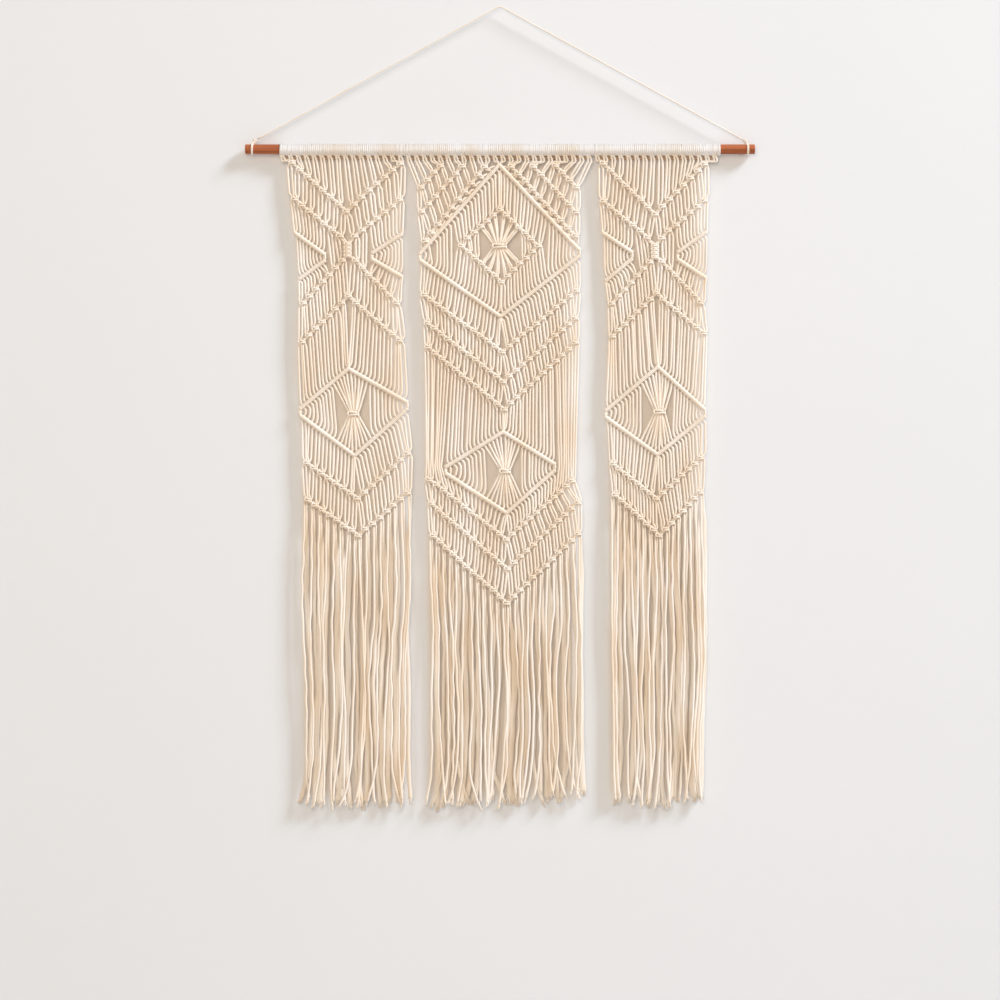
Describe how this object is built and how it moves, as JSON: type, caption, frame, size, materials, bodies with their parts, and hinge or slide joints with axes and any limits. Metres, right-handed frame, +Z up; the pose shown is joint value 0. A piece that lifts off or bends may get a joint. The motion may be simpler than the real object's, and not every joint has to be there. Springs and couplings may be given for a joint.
{
  "type": "macrame wall hanging on a wooden rod",
  "caption": "Knotted cotton wall hanging: lace-like panels with vee rows, diamonds and long cut fringes, side by side on a round wooden rod hung by a thin cord.",
  "frame": {"origin": "the hanging point, where the hanger cord lies over the nail or hook on the wall", "axes": "+Z up, +X to the right as seen from the front, front towards -Y, the wall on the +Y side"},
  "size_m": [0.708, 0.0176, 1.114],
  "materials": {
    "cotton": "natural undyed cotton cord, matt, softly twisted",
    "wood": "warm red-brown stained dowel, satin"
  },
  "bodies": {
    "root": {"rod": "wood", "hanger_cord": "cotton", "hanger_tie_left": "cotton", "hanger_tie_right": "cotton", "web_left": "cotton", "web_centre": "cotton", "web_right": "cotton", "fringe_left": "cotton", "fringe_centre": "cotton", "fringe_right": "cotton"}
  },
  "joints": []
}
